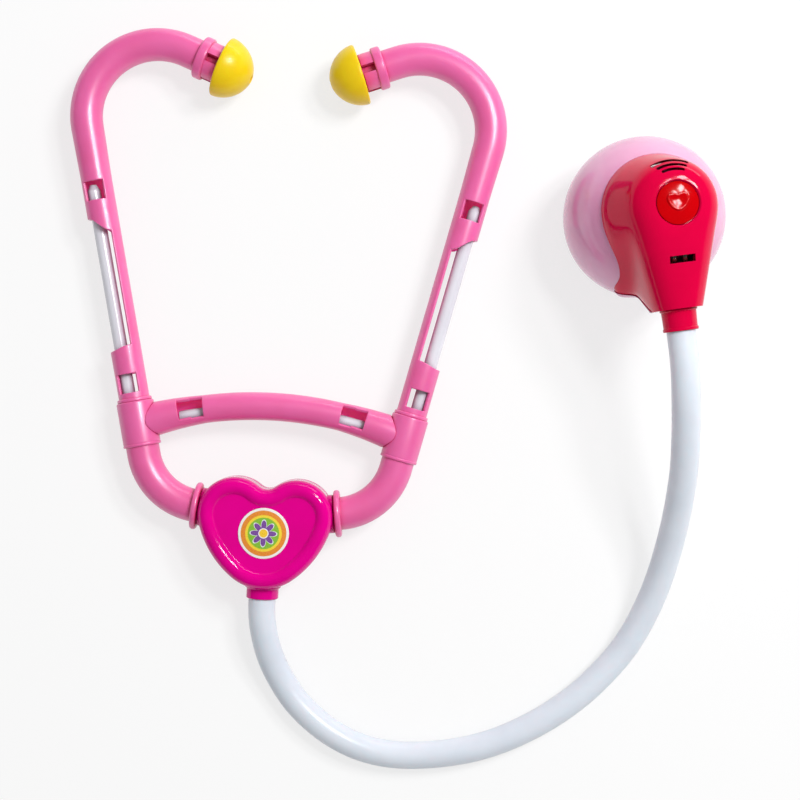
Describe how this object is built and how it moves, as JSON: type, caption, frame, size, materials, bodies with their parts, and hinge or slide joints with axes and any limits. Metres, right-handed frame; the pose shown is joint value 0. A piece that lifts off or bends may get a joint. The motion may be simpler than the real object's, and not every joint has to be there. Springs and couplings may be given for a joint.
{
  "type": "toy stethoscope",
  "caption": "Play stethoscope: windowed headset with turning ear tips and crossbar, heart shaped hub, flexible hose and ball shaped chest piece with a push button.",
  "frame": {"origin": "middle of the flat back of the heart shaped hub, on the table that the part lies on", "axes": "+Z away from the table, +Y from the heart along the headset towards the ear tips, +X to the side that the chest piece lies on"},
  "size_m": [0.2609, 0.2917, 0.0707],
  "materials": {
    "ear_tip_yellow": "satin gloss yellow",
    "headset_pink": "glossy pink",
    "rod_white": "glossy white",
    "heart_magenta": "glossy magenta",
    "badge_paper": "printed film",
    "screw_steel": "zinc plated",
    "plug_white": "satin white",
    "hose_white": "satin white",
    "ball_pink": "glossy light pink",
    "cover_red": "glossy crimson",
    "button_red": "glossy red",
    "spring_steel": "drawn wire",
    "switch_black": "matt black",
    "board_green": "lacquered green",
    "speaker_steel": "dark plated",
    "cone_black": "matt film",
    "magnet_steel": "zinc plated",
    "contact_nickel": "nickel plated",
    "cell_steel": "polished steel"
  },
  "bodies": {
    "stethoscope": {"left_ear_arm": "headset_pink", "right_ear_arm": "headset_pink", "left_inner_rod": "rod_white", "right_inner_rod": "rod_white", "left_tee": "headset_pink", "right_tee": "headset_pink", "crossbar": "headset_pink", "crossbar_rod": "rod_white", "left_yoke_tube": "headset_pink", "right_yoke_tube": "headset_pink", "heart_front": "heart_magenta", "heart_back": "heart_magenta", "heart_badge": "badge_paper", "heart_screws": "screw_steel", "heart_hose_plug": "plug_white", "hose": "hose_white", "bell_shell": "ball_pink", "back_cover": "cover_red", "button_spring": "spring_steel", "tact_switch": "switch_black", "circuit_board": "board_green", "speaker_frame": "speaker_steel", "speaker_cone": "cone_black", "speaker_magnet": "magnet_steel", "tab_contacts": "contact_nickel", "battery_cells": "cell_steel", "battery_contacts": "contact_nickel", "battery_door": "ball_pink", "door_screw": "screw_steel", "base_plate": "ball_pink", "base_screws": "screw_steel", "cover_screws": "screw_steel", "chest_hose_plug": "plug_white"},
    "left_tip": {"left_ear_tip": "ear_tip_yellow"},
    "right_tip": {"right_ear_tip": "ear_tip_yellow"},
    "button": {"sound_button": "button_red"}
  },
  "joints": [
    {"name": "left_tip_turn", "type": "hinge", "parent": "stethoscope", "child": "left_tip", "pos_m": [-0.02727, 0.18421, 0.0122], "axis": [0.9336, -0.3584, 0], "continuous": true},
    {"name": "right_tip_turn", "type": "hinge", "parent": "stethoscope", "child": "right_tip", "pos_m": [0.02727, 0.18421, 0.0122], "axis": [-0.9336, -0.3584, 0], "continuous": true},
    {"name": "button_press", "type": "slide", "parent": "stethoscope", "child": "button", "axis": [-0.1045, 0, -0.9945], "range_m": [0, 0.0012], "stiffness_N_per_m": 600, "springref_m": -0.0008, "deforming": ["button_spring"]}
  ]
}
